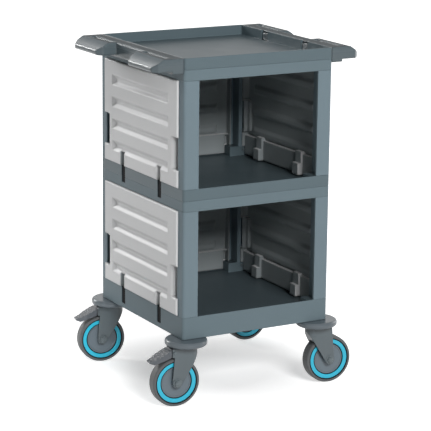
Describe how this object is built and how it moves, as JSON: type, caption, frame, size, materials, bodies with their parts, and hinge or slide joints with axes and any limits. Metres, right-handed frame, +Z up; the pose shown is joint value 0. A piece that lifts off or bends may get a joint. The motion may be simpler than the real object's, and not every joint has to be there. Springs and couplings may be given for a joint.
{
  "type": "serving cart",
  "caption": "Two-tier serving cart: moulded trays on corner posts with clip-on ribbed panels, side handles, bumper discs and swivel casters with brake pedals.",
  "frame": {"origin": "on the floor under the middle of the cart", "axes": "+X to the right seen from the open front, +Y to the closed back, +Z up"},
  "size_m": [0.5992, 0.54, 0.898],
  "materials": {
    "tray_slate": "satin moulded plastic, slate grey",
    "frame_slate": "satin moulded plastic, lighter slate grey",
    "panel_grey": "satin moulded plastic, light grey",
    "handle_slate": "smooth moulded plastic with a slight gloss, slate grey",
    "bumper_slate": "smooth bumper rubber, slate grey",
    "fork_grey": "moulded nylon, grey",
    "pedal_grey": "moulded nylon, grey",
    "hub_grey": "moulded plastic, grey",
    "band_blue": "cyan blue plastic ring",
    "tyre_grey": "non-marking grey rubber tread",
    "cap_grey": "grey coated steel bolt heads and pins",
    "steel": "zinc-plated steel"
  },
  "bodies": {
    "cart": {"top_tray": "tray_slate", "mid_tray": "tray_slate", "base_tray": "tray_slate", "top_ring": "frame_slate", "mid_ring": "frame_slate", "upper_front_left_post": "frame_slate", "upper_front_right_post": "frame_slate", "upper_rear_left_post": "frame_slate", "upper_rear_right_post": "frame_slate", "lower_front_left_post": "frame_slate", "lower_front_right_post": "frame_slate", "lower_rear_left_post": "frame_slate", "lower_rear_right_post": "frame_slate", "upper_left_panel": "panel_grey", "upper_right_panel": "panel_grey", "upper_back_panel": "panel_grey", "lower_left_panel": "panel_grey", "lower_right_panel": "panel_grey", "lower_back_panel": "panel_grey", "left_handle": "handle_slate", "right_handle": "handle_slate", "frame_screws": "cap_grey", "handle_screws": "cap_grey", "caster_nuts": "steel", "front_left_stem": "steel", "front_right_stem": "steel", "rear_left_stem": "steel", "rear_right_stem": "steel"},
    "front_left_bumper": {"front_left_bumper": "bumper_slate"},
    "front_left_swivel": {"front_left_fork": "fork_grey", "front_left_axle": "cap_grey", "front_left_pedal_pin": "cap_grey"},
    "front_left_wheel": {"front_left_hub": "hub_grey", "front_left_bush": "steel", "front_left_band": "band_blue", "front_left_tyre": "tyre_grey"},
    "front_left_pedal": {"front_left_pedal": "pedal_grey"},
    "front_right_bumper": {"front_right_bumper": "bumper_slate"},
    "front_right_swivel": {"front_right_fork": "fork_grey", "front_right_axle": "cap_grey"},
    "front_right_wheel": {"front_right_hub": "hub_grey", "front_right_bush": "steel", "front_right_band": "band_blue", "front_right_tyre": "tyre_grey"},
    "rear_left_bumper": {"rear_left_bumper": "bumper_slate"},
    "rear_left_swivel": {"rear_left_fork": "fork_grey", "rear_left_axle": "cap_grey", "rear_left_pedal_pin": "cap_grey"},
    "rear_left_wheel": {"rear_left_hub": "hub_grey", "rear_left_bush": "steel", "rear_left_band": "band_blue", "rear_left_tyre": "tyre_grey"},
    "rear_left_pedal": {"rear_left_pedal": "pedal_grey"},
    "rear_right_bumper": {"rear_right_bumper": "bumper_slate"},
    "rear_right_swivel": {"rear_right_fork": "fork_grey", "rear_right_axle": "cap_grey"},
    "rear_right_wheel": {"rear_right_hub": "hub_grey", "rear_right_bush": "steel", "rear_right_band": "band_blue", "rear_right_tyre": "tyre_grey"}
  },
  "joints": [
    {"name": "front_left_swivel", "type": "hinge", "parent": "cart", "child": "front_left_swivel", "pos_m": [-0.195, -0.215, 0.146], "axis": [0, 0, 1], "continuous": true},
    {"name": "front_left_wheel_spin", "type": "hinge", "parent": "front_left_swivel", "child": "front_left_wheel", "pos_m": [-0.22688, -0.21221, 0.064], "axis": [0.0872, 0.9962, 0], "continuous": true},
    {"name": "front_left_bumper_turn", "type": "hinge", "parent": "cart", "child": "front_left_bumper", "pos_m": [-0.195, -0.215, 0.167], "axis": [0, 0, 1], "continuous": true},
    {"name": "front_left_pedal_press", "type": "hinge", "parent": "front_left_swivel", "child": "front_left_pedal", "pos_m": [-0.23485, -0.21151, 0.145], "axis": [-0.0872, -0.9962, 0], "range_deg": [0, 10]},
    {"name": "front_right_swivel", "type": "hinge", "parent": "cart", "child": "front_right_swivel", "pos_m": [0.195, -0.215, 0.146], "axis": [0, 0, 1], "continuous": true},
    {"name": "front_right_wheel_spin", "type": "hinge", "parent": "front_right_swivel", "child": "front_right_wheel", "pos_m": [0.22688, -0.21779, 0.064], "axis": [-0.0872, -0.9962, 0], "continuous": true},
    {"name": "front_right_bumper_turn", "type": "hinge", "parent": "cart", "child": "front_right_bumper", "pos_m": [0.195, -0.215, 0.167], "axis": [0, 0, 1], "continuous": true},
    {"name": "rear_left_swivel", "type": "hinge", "parent": "cart", "child": "rear_left_swivel", "pos_m": [-0.195, 0.215, 0.146], "axis": [0, 0, 1], "continuous": true},
    {"name": "rear_left_wheel_spin", "type": "hinge", "parent": "rear_left_swivel", "child": "rear_left_wheel", "pos_m": [-0.22651, 0.22056, 0.064], "axis": [0.1736, 0.9848, 0], "continuous": true},
    {"name": "rear_left_bumper_turn", "type": "hinge", "parent": "cart", "child": "rear_left_bumper", "pos_m": [-0.195, 0.215, 0.167], "axis": [0, 0, 1], "continuous": true},
    {"name": "rear_left_pedal_press", "type": "hinge", "parent": "rear_left_swivel", "child": "rear_left_pedal", "pos_m": [-0.23439, 0.22195, 0.145], "axis": [-0.1736, -0.9848, 0], "range_deg": [0, 10]},
    {"name": "rear_right_swivel", "type": "hinge", "parent": "cart", "child": "rear_right_swivel", "pos_m": [0.195, 0.215, 0.146], "axis": [0, 0, 1], "continuous": true},
    {"name": "rear_right_wheel_spin", "type": "hinge", "parent": "rear_right_swivel", "child": "rear_right_wheel", "pos_m": [0.227, 0.215, 0.064], "axis": [0, -1, 0], "continuous": true},
    {"name": "rear_right_bumper_turn", "type": "hinge", "parent": "cart", "child": "rear_right_bumper", "pos_m": [0.195, 0.215, 0.167], "axis": [0, 0, 1], "continuous": true}
  ]
}
